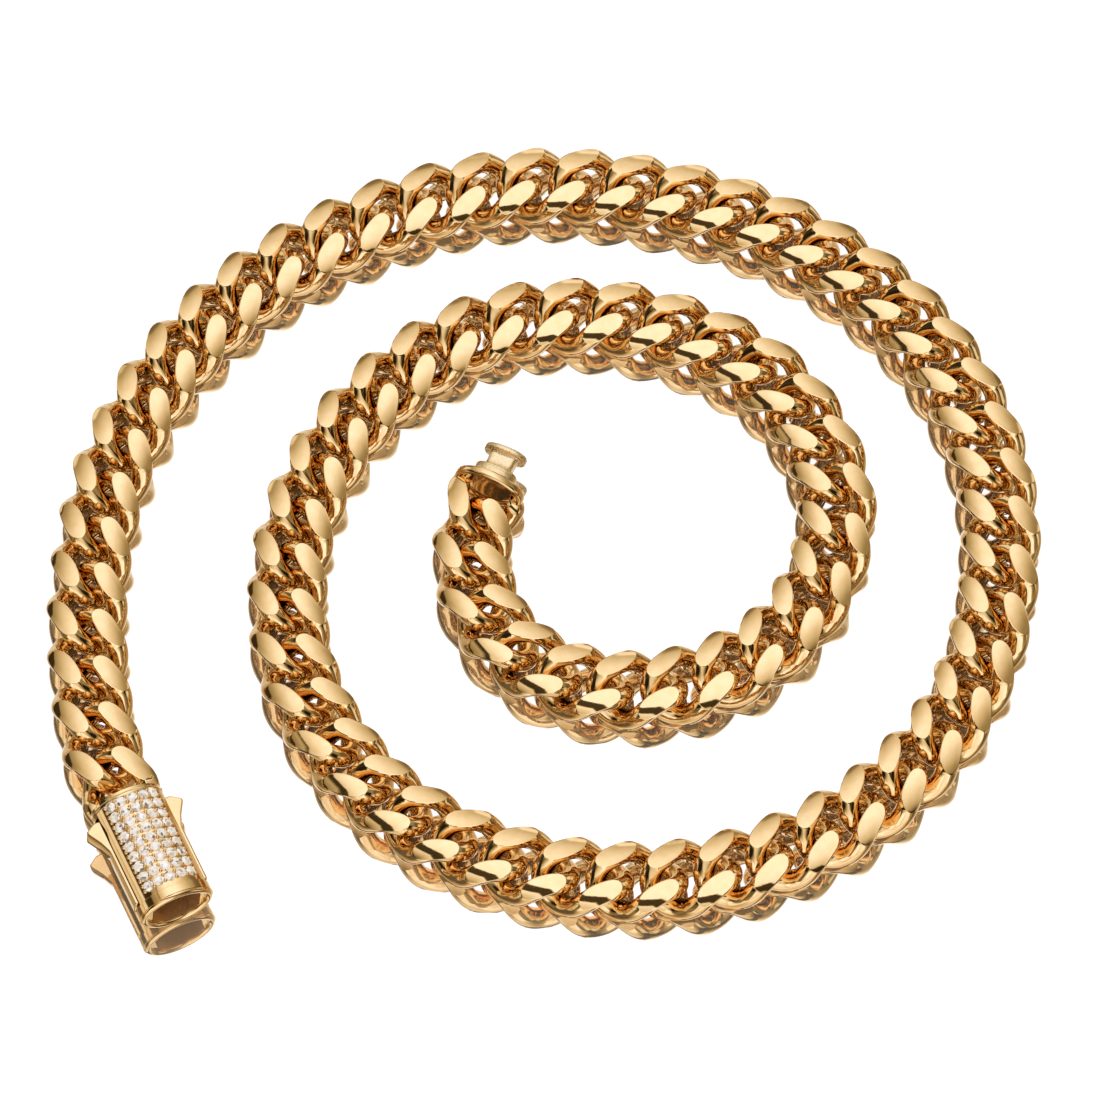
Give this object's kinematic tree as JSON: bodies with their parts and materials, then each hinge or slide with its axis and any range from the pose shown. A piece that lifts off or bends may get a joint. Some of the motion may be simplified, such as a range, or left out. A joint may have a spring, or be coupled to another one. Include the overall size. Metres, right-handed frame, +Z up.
{
  "type": "curb chain necklace with a box clasp",
  "caption": "Heavy gold-coloured curb chain necklace with interlocked filed links and a stone-set double-lever box clasp, unfastened and lying in an open spiral.",
  "frame": {"origin": "on the table, at the middle of the bounding box of the laid-out spiral", "axes": "+Z up, away from the table; +X to the viewer's right and +Y away from the viewer of the picture; the chain starts at the clasp on the left and winds clockwise inwards to the tongue"},
  "size_m": [0.1267, 0.1119, 0.0081],
  "materials": {
    "gold": "polished gold plate over stainless steel",
    "stones": "clear brilliant-cut stones"
  },
  "bodies": {
    "necklace": {"chain_outer": "gold", "chain_inner": "gold", "clasp_box": "gold", "pave_stones": "stones", "tongue": "gold"},
    "lever_left": {"lever_left": "gold"},
    "lever_right": {"lever_right": "gold"}
  },
  "joints": [
    {"name": "lever_left_press", "type": "hinge", "parent": "necklace", "child": "lever_left", "pos_m": [-0.05266, -0.04803, 0.00447], "axis": [-0.0947, -0.0442, -0.9945], "range_deg": [0, 8], "stiffness_Nm_per_rad": 0.1},
    {"name": "lever_right_press", "type": "hinge", "parent": "necklace", "child": "lever_right", "pos_m": [-0.04554, -0.04471, 0.00365], "axis": [0.0947, 0.0442, 0.9945], "range_deg": [0, 8], "stiffness_Nm_per_rad": 0.1}
  ]
}
